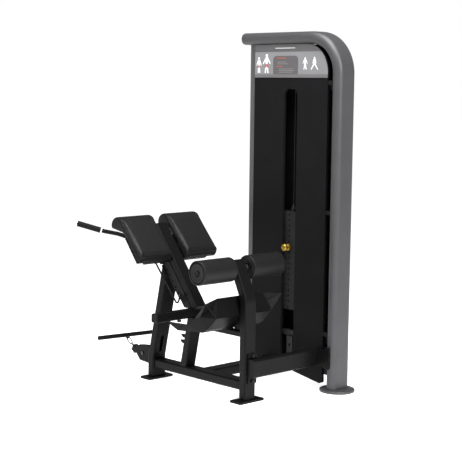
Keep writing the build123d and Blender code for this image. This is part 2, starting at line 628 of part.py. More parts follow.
PULLEY_AXLE_R, SMALL_AXLE_R = 8.0, 5.0
sheaves = (
    ("top_sheave", top_plane, PULLEY_TOP_R, PULLEY_AXLE_R),
    ("base_sheave", base_plane, BASE_R, SMALL_AXLE_R),
    ("corner_sheave", corner_plane, CORNER_R, SMALL_AXLE_R),
    ("low_sheave", low_plane, SHEAVE_R, PULLEY_AXLE_R),
)
for sheave_name, plane, pitch_r, bore_r in sheaves:
    with BuildPart() as wheel:
        sheave(plane, pitch_r, SHEAVE_T, bore_r + 0.05)
    finish(wheel, sheave_name)

with BuildPart() as sheave_axles:
    axle(top_plane, PULLEY_AXLE_R, -14, 14, 11)
    axle(base_plane, SMALL_AXLE_R, -13, 13, 8)
    with BuildSketch(corner_plane.offset(BEAM_Z0 + WALL - CABLE_Z)):
        Circle(SMALL_AXLE_R)
    extrude(amount=BEAM_Z1 - BEAM_Z0 - 2 * WALL)
finish(sheave_axles, "sheave_axles")

with BuildPart() as sheave_brackets:
    for side in (-1, 1):
        with BuildSketch(top_plane.offset(side * 12 - 2)):
            with Locations((0, 58.5)):
                Rectangle(56, 153)
            Circle(PULLEY_AXLE_R + 0.01, mode=Mode.SUBTRACT)
        extrude(amount=4)
    with BuildSketch(Plane.XY.offset(TOWER_TOP_Z - TOWER_TUBE / 2 - 4)):
        with Locations(((STACK_X + RETURN_X) / 2, STACK_Y)):
            Rectangle(90, 40)
    extrude(amount=4)
    for side in (-1, 1):
        with BuildSketch(base_plane.offset(side * 11 - 2)):
            with Locations((0, (BEAM_Z0 + WALL - CABLE_Z - BASE_R) / 2 + 7)):
                Rectangle(30, CABLE_Z + BASE_R - BEAM_Z0 - WALL + 14)
            Circle(SMALL_AXLE_R + 0.01, mode=Mode.SUBTRACT)
        extrude(amount=4)
finish(sheave_brackets, "sheave_brackets")

with BuildPart() as cable_lift:
    with BuildSketch(Plane.XY.offset(lift_z0)):
        with Locations((STACK_X, STACK_Y)):
            Circle(CABLE_R)
    extrude(amount=TOP_SHEAVE_Z - lift_z0)
finish(cable_lift, "cable_lift")

MAIN_END_X = LEG_X + TUBE_X / 2 + 10.3
top_mid_z = TOP_SHEAVE_Z + PULLEY_TOP_R
r45 = math.sqrt(0.5)
with BuildPart() as cable_main:
    with BuildLine() as main_path:
        ThreePointArc((STACK_X, STACK_Y, TOP_SHEAVE_Z), ((STACK_X + RETURN_X) / 2, STACK_Y, top_mid_z),
                      (RETURN_X, STACK_Y, TOP_SHEAVE_Z))
        Line((RETURN_X, STACK_Y, TOP_SHEAVE_Z), (RETURN_X, STACK_Y, CABLE_Z + BASE_R))
        ThreePointArc((RETURN_X, STACK_Y, CABLE_Z + BASE_R),
                      (RETURN_X, STACK_Y - BASE_R * (1 - r45), CABLE_Z + BASE_R * (1 - r45)),
                      (RETURN_X, STACK_Y - BASE_R, CABLE_Z))
        Line((RETURN_X, STACK_Y - BASE_R, CABLE_Z), (RETURN_X, CORNER_R, CABLE_Z))
        ThreePointArc((RETURN_X, CORNER_R, CABLE_Z),
                      (RETURN_X - CORNER_R * (1 - r45), CORNER_R * (1 - r45), CABLE_Z),
                      (RETURN_X - CORNER_R, 0, CABLE_Z))
        Line((RETURN_X - CORNER_R, 0, CABLE_Z), (MAIN_END_X, 0, CABLE_Z))
    with BuildSketch(Plane(origin=(STACK_X, STACK_Y, TOP_SHEAVE_Z))):
        Circle(CABLE_R)
    sweep(path=main_path.wire())
finish(cable_main, "cable_main")
print("cable_main volume over section times length",
      round(cable_main.part.volume / (math.pi * CABLE_R ** 2 * main_path.wire().length), 4))

# ---------------------------------------------------------------- swivel pulley, hook and bar
reach = math.hypot(BAR_AT[0] - LOW_X, BAR_AT[1] - LOW_Z)
cable_angle = math.atan2(BAR_AT[1] - LOW_Z, BAR_AT[0] - LOW_X) - math.asin(SHEAVE_R / reach)
along = Vector(math.cos(cable_angle), 0, math.sin(cable_angle))
across = Vector(-along.Z, 0, along.X)
leave = Vector(LOW_X, 0, LOW_Z) + across * SHEAVE_R
free_run = math.sqrt(reach ** 2 - SHEAVE_R ** 2)
FAIRLEAD_AT, STOP_AT, HOOK_AT, HOOK_L, HOOK_W, HOOK_WIRE = 78.0, 104.0, 126.0, 52.0, 26.0, 3.5


def cable_plane(distance):
    """Plane square to the cable's free run, this far from where it leaves the pulley."""
    return Plane(origin=leave + along * distance, x_dir=(0, 1, 0), z_dir=along)


with BuildPart() as swivel_housing:
    for side in (-1, 1):
        with BuildSketch(low_plane.offset(side * 14 - 3)):
            Polygon((-26, -46), (68, -52), (63, 56), (-20, 48), (-62, 42), (-76, 10), align=None)
            Circle(PULLEY_AXLE_R + 0.01, mode=Mode.SUBTRACT)
        extrude(amount=6)
    with BuildSketch(Plane(origin=(LOW_X + 52, 0, LOW_Z), x_dir=(0, 1, 0), z_dir=(1, 0, 0))):
        with Locations((0, 3)):
            Rectangle(34, 104)
    extrude(amount=12)
    with BuildSketch(Plane(origin=(LOW_X + 64, 0, CABLE_Z), x_dir=(0, 1, 0), z_dir=(1, 0, 0))):
        Circle(14)
    extrude(amount=LEG_X + TUBE_X / 2 - LOW_X - 64)
    with BuildSketch(cable_plane(FAIRLEAD_AT - 18)):
        RectangleRounded(34, 42, 5)
    extrude(amount=36)
    # way for the cable through the trunnion and the fairlead
    with BuildSketch(Plane(origin=(LOW_X + 50, 0, CABLE_Z), x_dir=(0, 1, 0), z_dir=(1, 0, 0))):
        Circle(6)
    extrude(amount=200, mode=Mode.SUBTRACT)
    with BuildSketch(cable_plane(FAIRLEAD_AT - 30)):
        Circle(6)
    extrude(amount=60, mode=Mode.SUBTRACT)
    # room for the pulley and its cable between the side plates
    with BuildSketch(low_plane.offset(-SHEAVE_T / 2 - 1)):
        Circle(SHEAVE_R + 6)
    extrude(amount=SHEAVE_T + 2, mode=Mode.SUBTRACT)
finish(swivel_housing, "swivel_housing")

with BuildPart() as swivel_fittings:
    axle(low_plane, PULLEY_AXLE_R, -17, 17, 10)
    with BuildSketch(Plane(origin=(LEG_X + TUBE_X / 2, 0, CABLE_Z), x_dir=(0, 1, 0), z_dir=(1, 0, 0))):
        Circle(20)
        Circle(6, mode=Mode.SUBTRACT)
    extrude(amount=10)
finish(swivel_fittings, "swivel_fittings")

with BuildPart() as cable_tail:
    half_turn = (cable_angle - math.pi) / 2
    tail_mid = Vector(LOW_X, 0, LOW_Z) + Vector(-math.sin(-half_turn), 0, -math.cos(half_turn)) * SHEAVE_R
    with BuildLine() as tail_path:
        Line((LEG_X + TUBE_X / 2 + 10, 0, CABLE_Z), (LOW_X, 0, CABLE_Z))
        ThreePointArc((LOW_X, 0, CABLE_Z), tail_mid, leave)
        Line(leave, leave + along * STOP_AT)
    with BuildSketch(Plane(origin=(LEG_X + TUBE_X / 2 + 10, 0, CABLE_Z), x_dir=(0, 1, 0), z_dir=(-1, 0, 0))):
        Circle(CABLE_R)
    sweep(path=tail_path.wire())
finish(cable_tail, "cable_tail")

with BuildPart() as snap_hook:
    with BuildSketch(cable_plane(STOP_AT)):
        Circle(6.5)
    extrude(amount=HOOK_AT - STOP_AT + 2)
    hook_plane = Plane(origin=leave + along * (HOOK_AT + HOOK_L / 2), x_dir=along, z_dir=(0, -1, 0))
    straight = (HOOK_L - HOOK_W) / 2
    wire_r = HOOK_W / 2
    with BuildLine(hook_plane) as hook_path:
        Line((-straight, wire_r), (straight, wire_r))
        ThreePointArc((straight, wire_r), (straight + wire_r, 0), (straight, -wire_r))
        Line((straight, -wire_r), (-straight, -wire_r))
        ThreePointArc((-straight, -wire_r), (-straight - wire_r, 0), (-straight, wire_r))
    with BuildSketch(Plane(origin=hook_plane.from_local_coords((0, wire_r, 0)), x_dir=(0, 1, 0), z_dir=along)):
        Circle(HOOK_WIRE)
    sweep(path=hook_path.wire())
finish(snap_hook, "snap_hook")

with BuildPart() as bar:
    a_bar = math.radians(BAR_TILT)
    bar_dir = Vector(0, math.cos(a_bar), -math.sin(a_bar))
    with BuildSketch(Plane(origin=Vector(BAR_AT[0], 0, BAR_AT[1]) - bar_dir * BAR_HALF, x_dir=(1, 0, 0),
                           z_dir=bar_dir)):
        Circle(BAR_R)
    extrude(amount=2 * BAR_HALF)
    chamfer(bar.edges().filter_by(GeomType.CIRCLE), 2)
    # eye that the snap hook passes through
    eye_at = HOOK_AT + HOOK_L + 1.0
    with BuildSketch(Plane(origin=leave + along * eye_at, x_dir=along, z_dir=across).offset(-3)):
        Circle(11)
        with Locations(((free_run - eye_at) / 2, 0)):
            Rectangle(free_run - eye_at, 22)
        Circle(HOOK_WIRE + 1.6, mode=Mode.SUBTRACT)
    extrude(amount=6)
finish(bar, "bar")

# ---------------------------------------------------------------- pad carriage
with BuildPart() as slide_beam:
    with BuildSketch(rail_plane(-13, -SLIDE_DEPTH / 2)):
        tube_ring(80, SLIDE_DEPTH, 6)
    extrude(amount=SLIDE_LENGTH)
    for end in (-13, SLIDE_LENGTH - 17):
        with BuildSketch(rail_plane(end, -SLIDE_DEPTH / 2)):
            RectangleRounded(80, SLIDE_DEPTH, 6)
        extrude(amount=4)
finish(slide_beam, "slide_beam")

BOARD_TOP_N, BOARD_T = -9.5, 12.0
HANDLE_S, HANDLE_N = 395.0, -62.0
CHEEK_Y, CHEEK_T = 41.0, 6.0


def across_rail(along_s, across_n, y, side=1):
    """Plane facing sideways (+Y or -Y) at a point of the rail's side view; local x runs up the slope."""
    x, z = up_rail(along_s, across_n)
    return Plane(origin=(x, y, z), x_dir=(math.cos(a_rail), 0, math.sin(a_rail)), z_dir=(0, side, 0))


with BuildPart() as carriage_brackets:
    for side in (-1, 1):
        with BuildSketch(across_rail(386, -74, side * CHEEK_Y, side)):
            RectangleRounded(80, 80, 12)
        extrude(amount=CHEEK_T)
        # flat bars that carry the pad boards
        for bar_s in (338.0, 462.0):
            with BuildSketch(across_rail(bar_s, (BOARD_TOP_N - BOARD_T - SLIDE_DEPTH) / 2, side * 40, side)):
                Rectangle(34, SLIDE_DEPTH + BOARD_TOP_N - BOARD_T)
            extrude(amount=200)
    # two pins that run under the rail and hold the carriage down
    for pin_s in (370.0, 412.0):
        with BuildSketch(across_rail(pin_s, -108.5, -CHEEK_Y - CHEEK_T)):
            Circle(5)
        extrude(amount=2 * (CHEEK_Y + CHEEK_T))
finish(carriage_brackets, "carriage_brackets")

with BuildPart() as pad_boards:
    for side in (-1, 1):
        with BuildSketch(rail_plane(322, BOARD_TOP_N - BOARD_T / 2, side * (PAD_IN + PAD_OUT) / 2)):
            Rectangle(PAD_OUT - PAD_IN - 16, BOARD_T)
        extrude(amount=172)
finish(pad_boards, "pad_boards")

a_pad = math.radians(PAD_ANGLE)
face_top = (PAD_FACE_LOW[0] + PAD_FACE_LENGTH * math.cos(a_pad),
            PAD_FACE_LOW[1] + PAD_FACE_LENGTH * math.sin(a_pad))
curl = (face_top[0] - PAD_CURL_R * math.sin(a_pad), face_top[1] + PAD_CURL_R * math.cos(a_pad))
mid_angle = (math.pi + a_pad - math.pi / 2) / 2
under_low, under_high = up_rail(314, BOARD_TOP_N), up_rail(500, BOARD_TOP_N)
for pad_name, side in (("pad_near", -1), ("pad_far", 1)):
    with BuildPart() as pad:
        with BuildSketch(Plane(origin=(0, side * PAD_IN, 0), x_dir=(1, 0, 0), z_dir=(0, -1, 0))):
            with BuildLine():
                Line(PAD_FACE_LOW, face_top)
                ThreePointArc(face_top, (curl[0] + PAD_CURL_R * math.cos(mid_angle),
                                         curl[1] + PAD_CURL_R * math.sin(mid_angle)),
                              (curl[0] - PAD_CURL_R, curl[1]))
                Polyline((curl[0] - PAD_CURL_R, curl[1]), (curl[0] - PAD_CURL_R + 5, curl[1] - 18),
                         (under_high[0] - 32, under_high[1] + 18), under_high, under_low, PAD_FACE_LOW)
            make_face()
        extrude(amount=-side * (PAD_OUT - PAD_IN))
        fillet(pad.edges().filter_by(Axis.Y).sort_by(Axis.X)[-1:], 12)
        chamfer(pad.faces().sort_by(Axis.Y)[0].edges(), 7)
        chamfer(pad.faces().sort_by(Axis.Y)[-1].edges(), 7)
    finish(pad, pad_name)

HANDLE_R, GRIP_R = 12.5, 17.0
handle_root = up_rail(HANDLE_S, HANDLE_N)
grip_start, grip_tip = Vector(-988, -256, 890), Vector(-1130, -361, 934.5)
grip_dir = (grip_tip - grip_start).normalized()
GRIP_L = 158.0
grip_plane = Plane(origin=grip_start, z_dir=grip_dir)
with BuildPart() as handle_tubes:
    with BuildLine() as handle_path:
        FilletPolyline((handle_root[0], -47, handle_root[1]), (handle_root[0], -110, handle_root[1]),
                       (-800, -160, 847), (-905, -203, 875), grip_start - grip_dir * 9,
                       grip_start + grip_dir * (GRIP_L + 2),
                       radius=[40, 60, 60, 60])
    with BuildSketch(Plane(origin=(handle_root[0], -47, handle_root[1]), z_dir=(0, -1, 0))):
        Circle(HANDLE_R)
        Circle(HANDLE_R - 2.5, mode=Mode.SUBTRACT)
    sweep(path=handle_path.wire())
    mirror(about=Plane.XZ)
finish(handle_tubes, "handle_tubes")

with BuildPart() as handle_grips:
    with BuildSketch(grip_plane.offset(8)):
        Circle(GRIP_R)
        Circle(HANDLE_R, mode=Mode.SUBTRACT)
    extrude(amount=GRIP_L - 8)
    mirror(about=Plane.XZ)
finish(handle_grips, "handle_grips")

with BuildPart() as grip_rings:
    with BuildSketch(grip_plane):
        Circle(GRIP_R + 2.5)
        Circle(HANDLE_R, mode=Mode.SUBTRACT)
    extrude(amount=8)
    with BuildSketch(grip_plane.offset(GRIP_L)):
        Circle(GRIP_R + 2.5)
        Circle(HANDLE_R, mode=Mode.SUBTRACT)
    extrude(amount=2)
    with BuildSketch(grip_plane.offset(GRIP_L + 2)):
        Circle(GRIP_R + 2.5)
    extrude(amount=21, taper=8)
    mirror(about=Plane.XZ)
finish(grip_rings, "grip_rings")

# ---------------------------------------------------------------- release rod
ROD_R, ROD_Y, PIVOT_S, PIVOT_N = 5.0, -62.0, 104.0, -56.0
rod_points = [up_rail(s, n) for s, n in ((PIVOT_S, PIVOT_N), (72, -113), (378, -128))]
with BuildPart() as release_rod:
    with BuildLine() as rod_path:
        FilletPolyline(*[(x, ROD_Y, z) for x, z in rod_points], radius=15)
    rod_start = Vector(rod_points[1][0] - rod_points[0][0], 0, rod_points[1][1] - rod_points[0][1])
    with BuildSketch(Plane(origin=(rod_points[0][0], ROD_Y, rod_points[0][1]),
                           x_dir=(0, 1, 0), z_dir=rod_start)):
        Circle(ROD_R)
    sweep(path=rod_path.wire())
    with BuildSketch(across_rail(PIVOT_S, PIVOT_N, ROD_Y - 6)):
        Circle(8)
    extrude(amount=12)
    with BuildSketch(across_rail(PIVOT_S, PIVOT_N, ROD_Y - 10)):
        Circle(3.05)
    extrude(amount=20, mode=Mode.SUBTRACT)
    with BuildSketch(rail_plane(368, -128, ROD_Y)):
        Circle(7)
    extrude(amount=24)
finish(release_rod, "release_rod")

with BuildPart() as rod_pivot:
    with BuildSketch(across_rail(PIVOT_S, PIVOT_N, -RAIL_Y / 2 - STRIP_T, -1)):
        Circle(3)
    extrude(amount=30)
    with BuildSketch(across_rail(PIVOT_S, PIVOT_N, -RAIL_Y / 2 - STRIP_T - 29, -1)):
        Circle(6)
    extrude(amount=3)
finish(rod_pivot, "rod_pivot")

# ---------------------------------------------------------------- ankle rollers
with BuildPart() as roller_axle:
    axle_plane = Plane(origin=(ROLLER_X, -AXLE_END, ROLLER_Z), x_dir=(1, 0, 0), z_dir=(0, 1, 0))
    with BuildSketch(axle_plane):
        Circle(AXLE_R)
    extrude(amount=2 * AXLE_END)
    for side in (-1, 1):
        with BuildSketch(Plane(origin=(ROLLER_X, side * (TUBE_Y / 2 + 0.2), ROLLER_Z), x_dir=(1, 0, 0),
                               z_dir=(0, side, 0))):
            Circle(17)
        extrude(amount=ROLLER_IN - TUBE_Y / 2 - 0.5)
finish(roller_axle, "roller_axle")

for roller_name, side in (("near", -1), ("far", 1)):
    roller_plane = Plane(origin=(ROLLER_X, side * ROLLER_IN, ROLLER_Z), x_dir=(1, 0, 0), z_dir=(0, side, 0))
    hub_length = AXLE_END - ROLLER_IN - 2.5
    with BuildPart() as roller:
        with BuildSketch(roller_plane):
            Circle(ROLLER_R)
        extrude(amount=ROLLER_OUT - ROLLER_IN)
        fillet(roller.edges(), 9)
        with BuildSketch(roller_plane):
            Circle(HUB_R)
        extrude(amount=ROLLER_OUT - ROLLER_IN, mode=Mode.SUBTRACT)
    finish(roller, f"roller_{roller_name}")
    with BuildPart() as hub:
        with BuildSketch(roller_plane.offset(2)):
            Circle(HUB_R)
            Circle(BUSH_R, mode=Mode.SUBTRACT)
        extrude(amount=hub_length - 2)
        # plain bushes in both ends
        for start in (2.0, hub_length - 20):
            with BuildSketch(roller_plane.offset(start)):
                Circle(BUSH_R)
                Circle(AXLE_R + 0.05, mode=Mode.SUBTRACT)
            extrude(amount=20)
    finish(hub, f"roller_hub_{roller_name}")
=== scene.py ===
import json
import math

import bmesh
import bpy
from mathutils import Matrix, Vector


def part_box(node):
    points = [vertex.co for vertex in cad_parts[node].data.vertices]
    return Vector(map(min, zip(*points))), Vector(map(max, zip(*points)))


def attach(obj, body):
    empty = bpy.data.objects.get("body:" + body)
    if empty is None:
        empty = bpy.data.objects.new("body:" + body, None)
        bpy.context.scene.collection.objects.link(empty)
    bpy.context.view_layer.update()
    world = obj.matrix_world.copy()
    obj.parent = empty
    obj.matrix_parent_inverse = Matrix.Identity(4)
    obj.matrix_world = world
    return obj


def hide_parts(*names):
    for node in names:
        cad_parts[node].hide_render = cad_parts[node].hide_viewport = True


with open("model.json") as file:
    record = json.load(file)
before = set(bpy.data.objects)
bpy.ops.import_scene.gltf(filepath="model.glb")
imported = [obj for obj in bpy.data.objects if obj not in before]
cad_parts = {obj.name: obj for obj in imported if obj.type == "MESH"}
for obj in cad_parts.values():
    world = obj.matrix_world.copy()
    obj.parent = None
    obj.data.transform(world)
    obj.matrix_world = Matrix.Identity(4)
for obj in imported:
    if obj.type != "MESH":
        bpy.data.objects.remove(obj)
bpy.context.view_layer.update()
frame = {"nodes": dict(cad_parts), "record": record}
NODES = frame["nodes"]

# ------------------------------------------------------------------ materials


def material(name, color, rough, metallic=0.0, specular=0.3, tone=0.0, tone_scale=6.0,
             grain=0.0, grain_scale=900.0, rough_spread=0.0):
    """Principled material with procedural mottling, grain and roughness variation in object space."""
    made = bpy.data.materials.new(name)
    made.use_nodes = True
    tree = made.node_tree
    shader = tree.nodes["Principled BSDF"]
    shader.inputs["Base Color"].default_value = (*color, 1.0)
    shader.inputs["Roughness"].default_value = rough
    shader.inputs["Metallic"].default_value = metallic
    shader.inputs["Specular IOR Level"].default_value = specular
    coords = tree.nodes.new("ShaderNodeTexCoord")

    def noise(scale, detail=3.0):
        node = tree.nodes.new("ShaderNodeTexNoise")
        node.inputs["Scale"].default_value = scale
        node.inputs["Detail"].default_value = detail
        tree.links.new(coords.outputs["Object"], node.inputs["Vector"])
        return node

    if tone:
        ramp = tree.nodes.new("ShaderNodeValToRGB")
        ramp.color_ramp.elements[0].position = 0.3
        ramp.color_ramp.elements[1].position = 0.7
        ramp.color_ramp.elements[0].color = (*[c * (1 - tone) for c in color], 1.0)
        ramp.color_ramp.elements[1].color = (*[c * (1 + tone) for c in color], 1.0)
        tree.links.new(noise(tone_scale).outputs["Fac"], ramp.inputs["Fac"])
        tree.links.new(ramp.outputs["Color"], shader.inputs["Base Color"])
    if rough_spread:
        spread = tree.nodes.new("ShaderNodeMapRange")
        spread.inputs["To Min"].default_value = rough - rough_spread
        spread.inputs["To Max"].default_value = rough + rough_spread
        tree.links.new(noise(35.0, 5.0).outputs["Fac"], spread.inputs["Value"])
        tree.links.new(spread.outputs["Result"], shader.inputs["Roughness"])
    if grain:
        bump = tree.nodes.new("ShaderNodeBump")
        bump.inputs["Strength"].default_value = grain
        bump.inputs["Distance"].default_value = 0.0006
        tree.links.new(noise(grain_scale, 4.0).outputs["Fac"], bump.inputs["Height"])
        tree.links.new(bump.outputs["Normal"], shader.inputs["Normal"])
    return made


FRAME_BLACK = material("frame_black", (0.0044, 0.0044, 0.0048), 0.4, specular=0.1, tone=0.12,
                       grain=0.12, grain_scale=1500, rough_spread=0.05)
STRIP_GREY = material("strip_grey", (0.009, 0.009, 0.0095), 0.45, specular=0.12, tone=0.25,
                      tone_scale=25, rough_spread=0.08)
TOWER_GREY = material("tower_grey", (0.068, 0.068, 0.071), 0.42, metallic=0.4, specular=0.3, tone=0.05,
                      grain=0.05, grain_scale=2500, rough_spread=0.03)
UPRIGHT_SILVER = material("upright_silver", (0.1, 0.1, 0.104), 0.42, metallic=0.4, tone=0.05,
                          rough_spread=0.03)
BAR_GREY = material("bar_grey", (0.035, 0.035, 0.037), 0.45, specular=0.2, tone=0.08)
SHROUD_BLACK = material("shroud_black", (0.0066, 0.0066, 0.0072), 0.55, specular=0.06, tone=0.08,
                        grain=0.1, grain_scale=2200, rough_spread=0.04)
PLACARD_GREY = material("placard_grey", (0.19, 0.19, 0.195), 0.5, specular=0.1, tone=0.03)
ZINC = material("zinc_steel", (0.06, 0.06, 0.062), 0.4, metallic=0.6, tone=0.15, tone_scale=120,
                rough_spread=0.08)
PLASTIC = material("black_plastic", (0.007, 0.007, 0.007), 0.5, specular=0.12, grain=0.15,
                   grain_scale=1400, tone=0.08)
RUBBER = material("black_rubber", (0.006, 0.006, 0.006), 0.62, specular=0.12, grain=0.4,
                  grain_scale=800, tone=0.1)
DARK_STEEL = material("dark_steel", (0.02, 0.02, 0.021), 0.3, metallic=0.5, specular=0.3, tone=0.1)
BOLT_BLACK = material("bolt_black", (0.009, 0.009, 0.01), 0.4, specular=0.15, tone=0.15)
HOOK_STEEL = material("hook_steel", (0.16, 0.16, 0.165), 0.3, metallic=0.8, tone=0.1, rough_spread=0.05)
# chrome: near-white base colour with little metallic, a painted reflection of the white studio in place of
# a mirror finish
CHROME_PAINTED_REFLECTION = material("bright_chrome", (0.82, 0.82, 0.83), 0.25, metallic=0.15, specular=0.5, rough_spread=0.04,
                  tone=0.03)
GOLD = material("gold_knob", (0.50, 0.31, 0.05), 0.3, metallic=0.9, rough_spread=0.05, tone=0.05)
PLATE_GREY = material("plate_grey", (0.019, 0.019, 0.02), 0.5, specular=0.15, tone=0.12,
                      tone_scale=12, grain=0.25, grain_scale=500)
VINYL = material("black_vinyl", (0.0075, 0.0075, 0.0079), 0.46, specular=0.18, tone=0.06,
                 grain=0.3, grain_scale=650, rough_spread=0.06)
VINYL_END = material("black_vinyl_ends", (0.012, 0.012, 0.0125), 0.5, specular=0.16, tone=0.06,
                     grain=0.3, grain_scale=650, rough_spread=0.06)
BOARD = material("board_wood", (0.009, 0.008, 0.007), 0.7, specular=0.1, tone=0.25, tone_scale=30)
CABLE = material("cable_black", (0.012, 0.012, 0.012), 0.35, specular=0.4, tone=0.05)
PRINT_DARK = material("print_dark", (0.085, 0.082, 0.084), 0.45, tone=0.02)
PRINT_MID = material("print_mid", (0.12, 0.115, 0.118), 0.45, tone=0.02)
PRINT_WHITE = material("print_white", (0.78, 0.78, 0.78), 0.5, tone=0.02)
PRINT_RED = material("print_red", (0.40, 0.09, 0.085), 0.5, tone=0.05)
PRINT_LINE = material("print_line", (0.2, 0.19, 0.19), 0.5, tone=0.02)

BY_SLOT = {
    "frame_black": FRAME_BLACK, "strip_grey": STRIP_GREY, "tower_grey": TOWER_GREY,
    "upright_silver": UPRIGHT_SILVER, "bar_grey": BAR_GREY, "shroud_black": SHROUD_BLACK,
    "placard_grey": PLACARD_GREY, "zinc_steel": ZINC, "black_plastic": PLASTIC,
    "black_rubber": RUBBER, "bright_chrome": CHROME_PAINTED_REFLECTION, "gold_knob": GOLD, "plate_grey": PLATE_GREY,
    "black_vinyl": VINYL, "board_wood": BOARD, "cable_black": CABLE, "dark_steel": DARK_STEEL,
    "bolt_black": BOLT_BLACK,
}
for part in frame["record"]["subparts"]:
    node = NODES[part["node"]]
    if not node.data.materials:
        node.data.materials.append(None)
    for index in range(len(node.data.materials)):
        node.material_slots[index].link = "OBJECT"
        node.material_slots[index].material = BY_SLOT[part["material_slot"]]
NODES["snap_hook"].material_slots[0].material = HOOK_STEEL

# ------------------------------------------------------------------ helpers


def add_object(name, mesh, paint, body, smooth=True):
    """A new piece of the object: painted, shaded, and riding on its CAD body."""
    obj = bpy.data.objects.new(name, mesh)
    bpy.context.scene.collection.objects.link(obj)
    mesh.materials.clear()
    mesh.materials.append(paint)
    if smooth:
        mesh.shade_smooth()
    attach(obj, body)
    return obj


def lathe(name, profile, start, direction, segments, shape=None):
    """Mesh of a closed (radius, distance) profile turned about an axis through start."""
    axis = Vector(direction).normalized()
    side = axis.orthogonal().normalized()
    up = axis.cross(side)
    verts = []
    for step in range(segments):
        angle = 2 * math.pi * step / segments
        radial = side * math.cos(angle) + up * math.sin(angle)
        for radius, along in profile:
            if shape:
                radius = shape(radius, along, radial)
            verts.append(Vector(start) + axis * along + radial * radius)
    count = len(profile)
    faces = []
    for step in range(segments):
        here, after = step * count, (step + 1) % segments * count
        for k in range(count):
            nxt = (k + 1) % count
            faces.append((here + k, after + k, after + nxt, here + nxt))
    mesh = bpy.data.meshes.new(name)
    mesh.from_pydata(verts, [], faces)
    bm = bmesh.new()
    bm.from_mesh(mesh)
    bmesh.ops.recalc_face_normals(bm, faces=bm.faces)
    bm.to_mesh(mesh)
    bm.free()
    return mesh


def hold(name, data):
    """A passing object that carries this mesh or curve while it is worked on."""
    holder = bpy.data.objects.new(name, data)
    bpy.context.scene.collection.objects.link(holder)
    return holder


def evaluated(holder):
    """Mesh of a holder with its modifiers applied; the holder goes."""
    mesh = bpy.data.meshes.new_from_object(holder.evaluated_get(bpy.context.evaluated_depsgraph_get()))
    bpy.data.objects.remove(holder)
    return mesh


def ring_tube(name, points, radius):
    """Mesh tube round a closed loop of points."""
    curve = bpy.data.curves.new(name, "CURVE")
    curve.dimensions = "3D"
    curve.bevel_depth = radius
    curve.bevel_resolution = 2
    spline = curve.splines.new("POLY")
    spline.points.add(len(points) - 1)
    for point, place in zip(spline.points, points):
        point.co = (*place, 1.0)
    spline.use_cyclic_u = True
    holder = hold(name, curve)
    bpy.context.view_layer.update()
    return evaluated(holder)


# ------------------------------------------------------------------ hip pads
VOXEL, SHRINK = 0.005, 0.004            # remesh size, and how far the cover starts inside the CAD pad
CAP, SMOOTHINGS = 0.0055, 6             # furthest that the cloth moves a point, and passes that even it out
PRESSURE, LAST_FRAME = 4.0, 20          # cloth pressure, and the frame where the cloth stops
BACK_DEPTH = 0.012                      # points this near the board stay on it
SEAM_INSET, SEAM_R, SEAM_STEP = 0.0125, 0.0013, 0.006
VALLEY_HALF, VALLEY_DEPTH = 0.0045, 0.0014      # the dip in the cover along each seam


def voxel_copy(node, name):
    """Copy of a CAD solid, remeshed evenly and drawn in a little."""
    holder = hold(name, NODES[node].data.copy())
    remesh = holder.modifiers.new("remesh", "REMESH")
    remesh.mode = "VOXEL"
    remesh.voxel_size = VOXEL
    bpy.context.view_layer.update()
    mesh = evaluated(holder)
    inward = [v.normal * SHRINK for v in mesh.vertices]
    for vertex, step in zip(mesh.vertices, inward):
        vertex.co -= step
    return mesh


def inflate(name, mesh, held):
    """The mesh blown up by cloth pressure, each point moved no more than the cap; held points stay."""
    holder = hold(name, mesh)
    pins = holder.vertex_groups.new(name="held")
    pins.add(held, 1.0, "REPLACE")
    cloth = holder.modifiers.new("cloth", "CLOTH")
    cloth.settings.quality = 4
    cloth.settings.use_pressure = True
    cloth.settings.uniform_pressure_force = PRESSURE
    cloth.settings.effector_weights.gravity = 0.0
    cloth.settings.vertex_group_mass = "held"
    cloth.point_cache.frame_start = 1
    cloth.point_cache.frame_end = LAST_FRAME
    for number in range(1, LAST_FRAME + 1):
        bpy.context.scene.frame_set(number)
    blown = evaluated(holder)
    for before, after in zip(mesh.vertices, blown.vertices):
        moved = after.co - before.co
        if moved.length > CAP:
            after.co = before.co + moved.normalized() * CAP
    bpy.context.scene.frame_set(1)
    bm = bmesh.new()
    bm.from_mesh(blown)
    for _ in range(SMOOTHINGS):
        bmesh.ops.smooth_vert(bm, verts=bm.verts, factor=0.5,
                              use_axis_x=True, use_axis_y=True, use_axis_z=True)
    bm.to_mesh(blown)
    bm.free()
    return blown


def subdivided(name, mesh):
    """The mesh with one level of subdivision."""
    holder = hold(name, mesh)
    smoother = holder.modifiers.new("subdivision", "SUBSURF")
    smoother.levels = 1
    smoother.render_levels = 1
    bpy.context.view_layer.update()
    return evaluated(holder)


def seam_loop(mesh, y):
    """Points round the mesh where the plane at this y cuts it."""
    bm = bmesh.new()
    bm.from_mesh(mesh)
    cut = bmesh.ops.bisect_plane(bm, geom=bm.verts[:] + bm.edges[:] + bm.faces[:],
                                 plane_co=(0, y, 0), plane_no=(0, 1, 0))["geom_cut"]
    edges = [item for item in cut if isinstance(item, bmesh.types.BMEdge)]
    links = {}
    for edge in edges:
        for end in edge.verts:
            links.setdefault(end, []).append(edge)
    start = edges[0].verts[0]
    loop, used, here = [start.co.copy()], set(), start
    while True:
        onward = [edge for edge in links[here] if edge not in used]
        if not onward:
            break
        used.add(onward[0])
        here = onward[0].other_vert(here)
        if here is start:
            break
        if (here.co - loop[-1]).length > SEAM_STEP:
            loop.append(here.co.copy())
    bm.free()
    return loop


